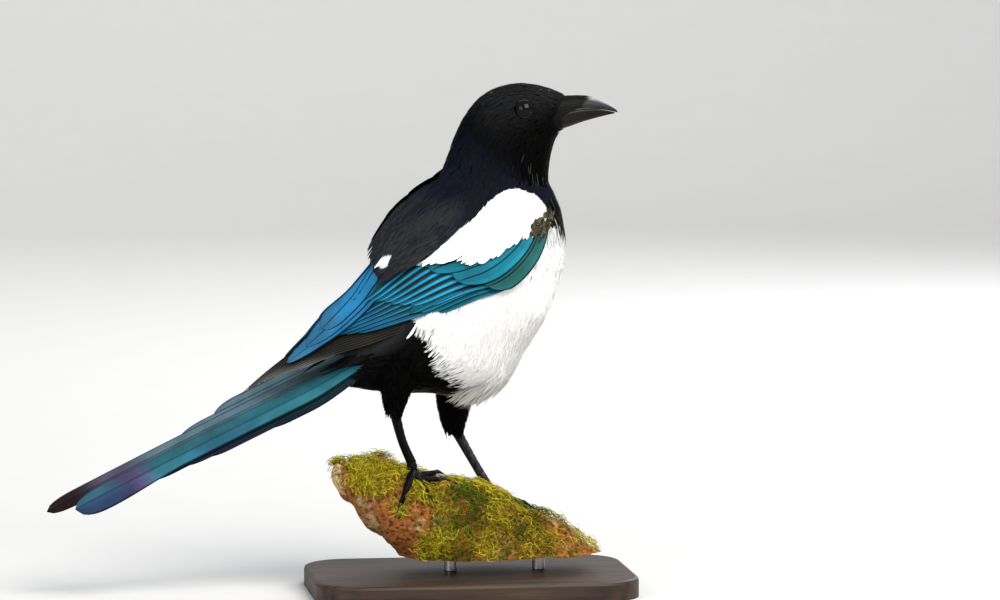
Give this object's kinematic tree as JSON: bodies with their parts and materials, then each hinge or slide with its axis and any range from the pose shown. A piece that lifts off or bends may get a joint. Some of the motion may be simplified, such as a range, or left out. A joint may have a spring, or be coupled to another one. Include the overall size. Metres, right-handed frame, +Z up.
{
  "type": "eurasian magpie",
  "caption": "Life-size standing magpie, black and white with a long glossy tail, gripping a cut length of mossy limb on a flat display base.",
  "frame": {"origin": "middle of the display base's underside", "axes": "+X the way the bird faces, +Y its left, +Z up"},
  "size_m": [0.3546, 0.124, 0.3085],
  "materials": {
    "bark": "rough mossy bark with a pale broken end",
    "black_plumage": "soft black feathers with a faint blue gloss",
    "eye": "wet, near-black brown",
    "horn": "smooth dark horn",
    "leg_skin": "dark scaled skin",
    "stand_metal": "plain satin rods",
    "stand_wood": "dark stained, satin",
    "tail_plumage": "long tail feathers, bronze green to purple gloss",
    "white_plumage": "soft white feathers",
    "wing_plumage": "folded flight feathers, black with a blue and green gloss"
  },
  "bodies": {
    "root": {"bill_lower": "horn", "bill_upper": "horn", "claw_left_1": "horn", "claw_left_2": "horn", "claw_left_3": "horn", "claw_left_4": "horn", "claw_right_1": "horn", "claw_right_2": "horn", "claw_right_3": "horn", "claw_right_4": "horn", "eye_left": "eye", "eye_right": "eye", "foot_left": "leg_skin", "foot_right": "leg_skin", "head": "black_plumage", "neck": "black_plumage", "perch": "bark", "shank_left": "leg_skin", "shank_right": "leg_skin", "stand_base": "stand_wood", "stand_rod_1": "stand_metal", "stand_rod_2": "stand_metal", "tail": "tail_plumage", "thigh_left": "black_plumage", "thigh_right": "black_plumage", "torso": "white_plumage", "wing_left": "wing_plumage", "wing_right": "wing_plumage"}
  },
  "joints": []
}
